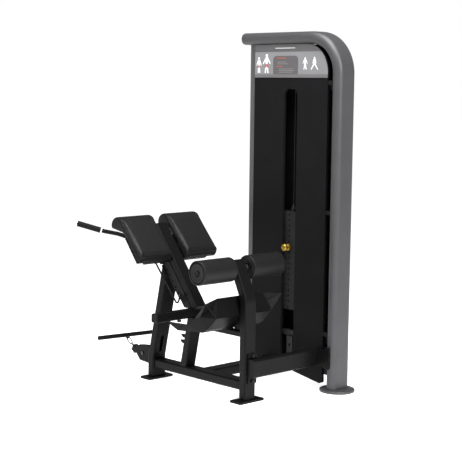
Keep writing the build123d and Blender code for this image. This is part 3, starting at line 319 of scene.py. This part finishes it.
BOARD_LOW, BOARD_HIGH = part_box("pad_boards")
for node, name in (("pad_near", "hip_pad_near"), ("pad_far", "hip_pad_far")):
    low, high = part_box(node)
    mesh = voxel_copy(node, name)
    # the back of the pad lies on its board, on the line from the board's low foot-end corner up the slope
    slope = Vector((BOARD_LOW[0] - BOARD_HIGH[0], 0, BOARD_HIGH[2] - BOARD_LOW[2])).normalized()
    outward = Vector((slope.z, 0, -slope.x))
    foot = Vector((BOARD_HIGH[0], 0, BOARD_LOW[2]))
    held = [v.index for v in mesh.vertices if (v.co - foot).dot(outward) < BACK_DEPTH]
    mesh = inflate(name, mesh, held)
    mesh = subdivided(name, mesh)
    welts = []
    for side, y in (("a", low[1] + SEAM_INSET), ("b", high[1] - SEAM_INSET)):
        for vertex in mesh.vertices:
            near = abs(vertex.co.y - y) / VALLEY_HALF
            if near < 1:
                vertex.co -= vertex.normal * VALLEY_DEPTH * (1 - near * near)
        welts.append(ring_tube(f"{name}_welt_{side}", seam_loop(mesh, y), SEAM_R))
    pad = add_object(name, mesh, VINYL, "pad_carriage")
    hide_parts(node)
    for side, welt in zip("ab", welts):
        add_object(f"{name}_welt_{side}", welt, VINYL_END, "pad_carriage")

# ------------------------------------------------------------------ ankle rollers
TUBE_R, HOLE_R, DISC_R = 0.0245, 0.0165, 0.0595   # inside of the cover, axle hole, end disc
DISH, ROUND, CROWN = 0.003, 0.008, 0.0006         # hollow of the disc, cover's edge, swell at mid-length
SEAM_DEPTH, SEAM_HALF_ANGLE = 0.0012, 0.05        # the seam along the underside
for node, body, name, outward in (("roller_near", "ankle_roller_near", "ankle_pad_near", -1.0),
                                  ("roller_far", "ankle_roller_far", "ankle_pad_far", 1.0)):
    low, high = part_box(node)
    radius = (high[0] - low[0]) / 2
    length = high[1] - low[1]
    centre = Vector(((low[0] + high[0]) / 2, high[1] if outward < 0 else low[1], (low[2] + high[2]) / 2))
    profile = [(TUBE_R, 0.0), (DISC_R - 0.003, 0.0005), (DISC_R - 0.002, 0.005), (DISC_R + 0.001, 0.005),
               (DISC_R + 0.002, 0.0005)]
    for step in range(7):
        turn = math.radians(90 * step / 6)
        profile.append((radius - ROUND + ROUND * math.sin(turn), ROUND - ROUND * math.cos(turn)))
    for step in range(1, 12):
        share = step / 12
        swell = CROWN * (1 - (2 * share - 1) ** 2)
        profile.append((radius - CROWN + swell, ROUND + (length - 2 * ROUND) * share))
    for step in range(7):
        turn = math.radians(90 * step / 6)
        profile.append((radius - ROUND + ROUND * math.cos(turn), length - ROUND + ROUND * math.sin(turn)))
    profile += [(DISC_R + 0.0015, length - 0.0005)]
    cover = profile + [(DISC_R, length - 0.003), (DISC_R, length - 0.012), (TUBE_R, length - 0.012)]
    end_disc = [(DISC_R - 0.0045, length - 0.011), (DISC_R - 0.0045, length - 0.0022)]
    for step in range(1, 8):
        share = step / 8
        reach = DISC_R - 0.0055 - (DISC_R - 0.0055 - HOLE_R - 0.002) * share
        end_disc.append((reach, length - 0.0012 - DISH * math.sin(share * math.pi / 2)))
    end_disc += [(HOLE_R, length - DISH - 0.0025), (HOLE_R, length - 0.011)]

    def seamed(r, along, radial):
        """A shallow seam along the underside of the cover."""
        off = abs(math.atan2(radial.x, -radial.z))
        depth = SEAM_DEPTH * max(0.0, 1 - (off / SEAM_HALF_ANGLE) ** 2)
        return r - depth if r > DISC_R + 0.006 else r

    axis = (0, outward, 0)
    pad = add_object(name, lathe(name, cover, centre, axis, 128, seamed), VINYL, body)
    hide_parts(node)
    add_object(f"{name}_end", lathe(f"{name}_end", end_disc, centre, axis, 96), VINYL_END, body)

# ------------------------------------------------------------------ printed placard
sheet_low, sheet_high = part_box("placard")
PRINT_Y = sheet_low[1]
SHEET_X0, SHEET_X1, SHEET_Z0, SHEET_Z1 = sheet_low[0], sheet_high[0], sheet_low[2], sheet_high[2]
SHEET_W, SHEET_H = SHEET_X1 - SHEET_X0, SHEET_Z1 - SHEET_Z0
CORNER, BLOCK_CORNER = 0.165, 0.024     # round corners of the sheet and of the printed block
EDGE = 0.0005                           # the print stops this far inside the sheet's top edge
SKIN = 0.0004                           # one layer of print


def print_mesh(name, outlines, lift):
    """Thin raised print: each outline is a list of (x, z) points, a convex or simple polygon."""
    bm = bmesh.new()
    for outline in outlines:
        front = [bm.verts.new((x, PRINT_Y - SKIN * lift, z)) for x, z in outline]
        back = [bm.verts.new((x, PRINT_Y + SKIN * 0.5, z)) for x, z in outline]
        bm.faces.new(front)
        bm.faces.new(back[::-1])
        for k in range(len(outline)):
            nxt = (k + 1) % len(outline)
            bm.faces.new((front[k], back[k], back[nxt], front[nxt]))
    bmesh.ops.recalc_face_normals(bm, faces=bm.faces)
    mesh = bpy.data.meshes.new(name)
    bm.to_mesh(mesh)
    bm.free()
    return mesh


def at(u, v):
    """A point of the placard from shares of its width and height, from its lower left corner."""
    return SHEET_X0 + SHEET_W * u, SHEET_Z0 + SHEET_H * v


def bar(u0, v0, u1, v1):
    """Level rectangle between two corners, in shares of the placard."""
    return [at(u0, v0), at(u1, v0), at(u1, v1), at(u0, v1)]


def disc(u, v, radius, sides=20):
    """Round spot with its centre in shares of the placard and its radius in metres."""
    x, z = at(u, v)
    turns = [2 * math.pi * k / sides for k in range(sides)]
    return [(x + radius * math.cos(turn), z + radius * math.sin(turn)) for turn in turns]


def limb(u0, v0, u1, v1, w0, w1):
    """Tapered limb between two points, with these half-widths in metres."""
    (x0, z0), (x1, z1) = at(u0, v0), at(u1, v1)
    run = Vector((x1 - x0, z1 - z0)).normalized()
    nx, nz = -run.y, run.x
    return [(x0 + nx * w0, z0 + nz * w0), (x0 - nx * w0, z0 - nz * w0),
            (x1 - nx * w1, z1 - nz * w1), (x1 + nx * w1, z1 + nz * w1)]


def right_edge(z):
    """The sheet's right edge at this height, inside its round corner."""
    rise = z - (SHEET_Z1 - CORNER)
    return SHEET_X1 - CORNER + math.sqrt(max(0.0, CORNER ** 2 - rise ** 2)) if rise > 0 else SHEET_X1


band_z = SHEET_Z0 + SHEET_H * 0.775
band = [(SHEET_X0, band_z)]
for step in range(13):
    z = band_z + (SHEET_Z1 - EDGE - band_z) * step / 12
    band.append((right_edge(z) - 0.001, z))
band.append((SHEET_X0, SHEET_Z1 - EDGE))
strip = bar(0.0, 0.0, 0.999, 0.1)
block = [at(0.26, 0.101), at(0.605, 0.101)]
for cx, start in ((0.565, 0), (0.30, 90)):
    for step in range(7):
        turn = math.radians(start + 15 * step)
        x, z = at(cx, 0.53)
        block.append((x + BLOCK_CORNER * math.cos(turn), z + BLOCK_CORNER * math.sin(turn)))


def standing(u, foot, top, stride, arms):
    """Generic standing figure as a few polygons."""
    height = top - foot
    hip, neck = foot + height * 0.48, foot + height * 0.84
    return [
        disc(u, foot + height * 0.93, SHEET_H * height * 0.075),
        limb(u, hip - height * 0.04, u, neck, 0.007 * height / 0.5, 0.011 * height / 0.5),
        limb(u - 0.003, hip, u - stride, foot, 0.0055 * height / 0.5, 0.003 * height / 0.5),
        limb(u + 0.003, hip, u + stride, foot, 0.0055 * height / 0.5, 0.003 * height / 0.5),
        limb(u - 0.012, neck - height * 0.03, u - arms, hip, 0.0032 * height / 0.5, 0.0022 * height / 0.5),
        limb(u + 0.012, neck - height * 0.03, u + arms, hip, 0.0032 * height / 0.5, 0.0022 * height / 0.5),
    ]


whites = standing(0.058, 0.14, 0.62, 0.012, 0.033) + standing(0.168, 0.14, 0.71, 0.02, 0.05)
whites += standing(0.70, 0.24, 0.60, 0.016, 0.03) + standing(0.825, 0.24, 0.61, 0.045, 0.022)
whites += [bar(0.29, 0.878, 0.56, 0.893)]
reds = [limb(0.160, 0.40, 0.152, 0.30, 0.0065, 0.005), limb(0.176, 0.40, 0.184, 0.30, 0.0065, 0.005),
        limb(0.054, 0.37, 0.049, 0.30, 0.0035, 0.003), limb(0.062, 0.37, 0.067, 0.30, 0.0035, 0.003),
        bar(0.31, 0.575, 0.44, 0.595), bar(0.31, 0.325, 0.39, 0.345)]
lines = [bar(0.32, 0.46, 0.44, 0.475), bar(0.32, 0.405, 0.465, 0.42), bar(0.34, 0.255, 0.53, 0.27),
         bar(0.34, 0.205, 0.55, 0.22), bar(0.34, 0.155, 0.52, 0.17),
         bar(0.655, 0.16, 0.745, 0.172), bar(0.78, 0.16, 0.875, 0.172)]
for name, outlines, paint, lift in (
        ("placard_band_top", [band], PRINT_DARK, 1), ("placard_band_low", [strip], PRINT_MID, 1),
        ("placard_block", [block], PRINT_DARK, 1), ("placard_figures", whites, PRINT_WHITE, 2),
        ("placard_marks", reds, PRINT_RED, 3), ("placard_rules", lines, PRINT_LINE, 2)):
    add_object(name, print_mesh(name, outlines, lift), paint, "frame", smooth=False)

# ------------------------------------------------------------------ stage, light and camera
FLOOR = 40.0                            # half the floor's width
floor_mesh = bpy.data.meshes.new("floor")
floor_mesh.from_pydata([(-FLOOR, -FLOOR, 0), (FLOOR, -FLOOR, 0), (FLOOR, FLOOR, 0), (-FLOOR, FLOOR, 0)],
                       [], [(0, 1, 2, 3)])
floor = bpy.data.objects.new("floor", floor_mesh)
bpy.context.scene.collection.objects.link(floor)
floor_paint = bpy.data.materials.new("floor_white")
floor_paint.use_nodes = True
floor_shader = floor_paint.node_tree.nodes["Principled BSDF"]
floor_shader.inputs["Base Color"].default_value = (0.8, 0.8, 0.8, 1)
floor_shader.inputs["Roughness"].default_value = 0.9
floor_shader.inputs["Specular IOR Level"].default_value = 0.1
floor_shader.inputs["Emission Color"].default_value = (1, 1, 1, 1)
floor_shader.inputs["Emission Strength"].default_value = 0.88
floor_mesh.materials.append(floor_paint)

world = bpy.data.worlds.new("studio")
world.use_nodes = True
backdrop = world.node_tree.nodes["Background"]
backdrop.inputs["Color"].default_value = (1, 1, 1, 1)
# the eye sees a white studio, and the surfaces are lit by a dimmer one
seen = world.node_tree.nodes.new("ShaderNodeLightPath")
strength = world.node_tree.nodes.new("ShaderNodeMapRange")
strength.inputs["To Min"].default_value = 0.18
strength.inputs["To Max"].default_value = 1.0
world.node_tree.links.new(seen.outputs["Is Camera Ray"], strength.inputs["Value"])
world.node_tree.links.new(strength.outputs["Result"], backdrop.inputs["Strength"])
bpy.context.scene.world = world


def softbox(name, place, aim, size, power):
    """Soft area light at a place, turned to its aim; size in metres, power in watts."""
    data = bpy.data.lights.new(name, "AREA")
    data.shape = "RECTANGLE"
    data.size, data.size_y = size
    data.energy = power
    lamp = bpy.data.objects.new(name, data)
    bpy.context.scene.collection.objects.link(lamp)
    lamp.location = place
    lamp.rotation_euler = (Vector(aim) - Vector(place)).to_track_quat("-Z", "Y").to_euler()


AIM = (-0.4, 0.2, 0.9)
softbox("key", (-2.2, -4.2, 3.6), AIM, (2.4, 2.4), 45)
softbox("side", (4.4, -0.4, 3.6), AIM, (2.0, 3.0), 240)
softbox("top", (0.4, -0.6, 4.6), AIM, (3.0, 3.0), 300)

# the eye stands this far right of, in front of and above the origin, and looks along the bench's diagonal
EYE = Vector((4.9617, -4.8333, 1.75))
YAW, TILT, ROLL, LENS = math.radians(-46.58), math.radians(6.512), math.radians(-0.6866), 98.35
forward = Vector((math.sin(YAW) * math.cos(TILT), math.cos(YAW) * math.cos(TILT), -math.sin(TILT)))
level = Vector((math.cos(YAW), -math.sin(YAW), 0))
down = forward.cross(level)
right = level * math.cos(ROLL) + down * math.sin(ROLL)
down = down * math.cos(ROLL) - level * math.sin(ROLL)
camera_data = bpy.data.cameras.new("camera")
camera_data.sensor_width = 36.0
camera_data.lens = LENS
camera_data.clip_end = 200.0
camera = bpy.data.objects.new("camera", camera_data)
bpy.context.scene.collection.objects.link(camera)
turn = Matrix((right, -down, -forward)).transposed().to_4x4()
camera.matrix_world = Matrix.Translation(EYE) @ turn
bpy.context.scene.camera = camera
bpy.context.scene.view_settings.view_transform = "Standard"
